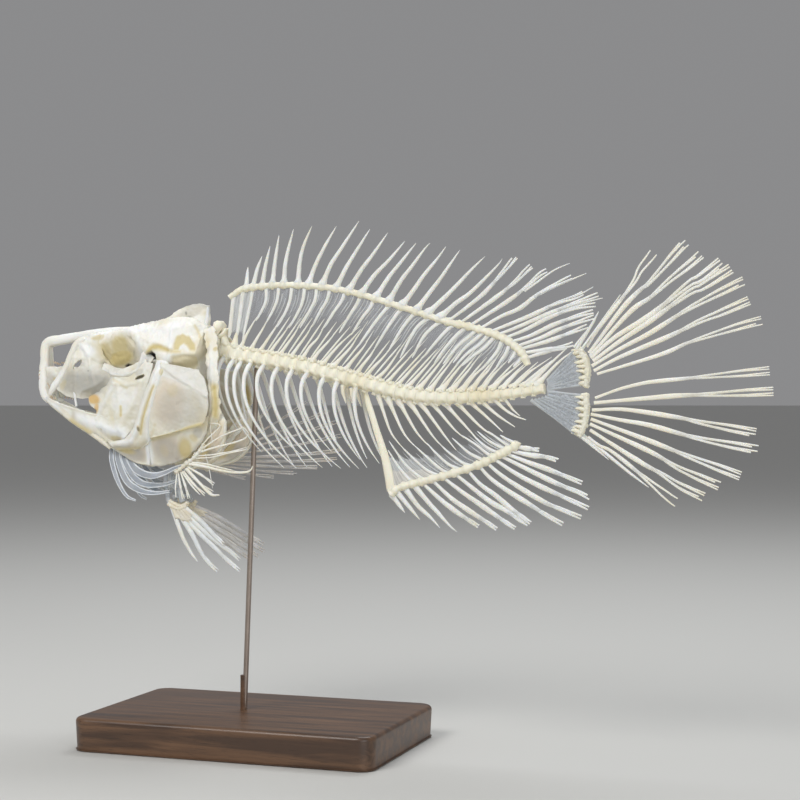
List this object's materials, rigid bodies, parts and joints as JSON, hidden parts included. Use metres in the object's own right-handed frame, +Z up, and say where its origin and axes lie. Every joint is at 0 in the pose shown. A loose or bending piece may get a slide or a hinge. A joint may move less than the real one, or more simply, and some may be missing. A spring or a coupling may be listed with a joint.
{
  "type": "fish skeleton",
  "caption": "Articulated skeleton of a deep-bodied cichlid fish with open jaws, spiny back fin, belly and tail fins, held by a rod over a flat dark wooden base.",
  "frame": {"origin": "centre of the base's flat underside, on the table", "axes": "+Z up, -X towards the snout, +X towards the tail, -Y the fish's left side"},
  "size_m": [0.2818, 0.072, 0.1924],
  "materials": {
    "pale_bone": "thin translucent near-white bone, satin",
    "ivory_bone": "ivory bone, satin",
    "cream_bone": "cream-yellow bone, satin",
    "dark_wood": "dark-stained, satin varnish",
    "stand_steel": "dull drawn steel"
  },
  "bodies": {
    "root": {"anal_fin": "pale_bone", "backbone_tail": "cream_bone", "backbone_trunk": "cream_bone", "caudal_fin_lower": "cream_bone", "caudal_fin_upper": "cream_bone", "cheek_left": "ivory_bone", "cheek_right": "ivory_bone", "dorsal_fin_rays": "pale_bone", "dorsal_fin_spines": "pale_bone", "gill_rays_left": "pale_bone", "gill_rays_right": "pale_bone", "interopercle_left": "ivory_bone", "interopercle_right": "ivory_bone", "lachrymal_left": "pale_bone", "lachrymal_right": "pale_bone", "lower_jaw": "pale_bone", "maxilla_left": "pale_bone", "maxilla_right": "pale_bone", "opercle_left": "ivory_bone", "opercle_right": "ivory_bone", "pectoral_fin_left": "pale_bone", "pectoral_fin_right": "pale_bone", "pelvic_fin_left": "pale_bone", "pelvic_fin_right": "pale_bone", "pelvic_girdle": "ivory_bone", "preopercle_left": "cream_bone", "preopercle_right": "cream_bone", "ribs_left": "ivory_bone", "ribs_right": "ivory_bone", "shoulder_left": "cream_bone", "shoulder_right": "cream_bone", "skull": "ivory_bone", "stand_base": "dark_wood", "stand_rod": "stand_steel", "subopercle_left": "ivory_bone", "subopercle_right": "ivory_bone", "tail_plate_lower": "pale_bone", "tail_plate_upper": "pale_bone", "upper_jaw": "pale_bone"}
  },
  "joints": []
}
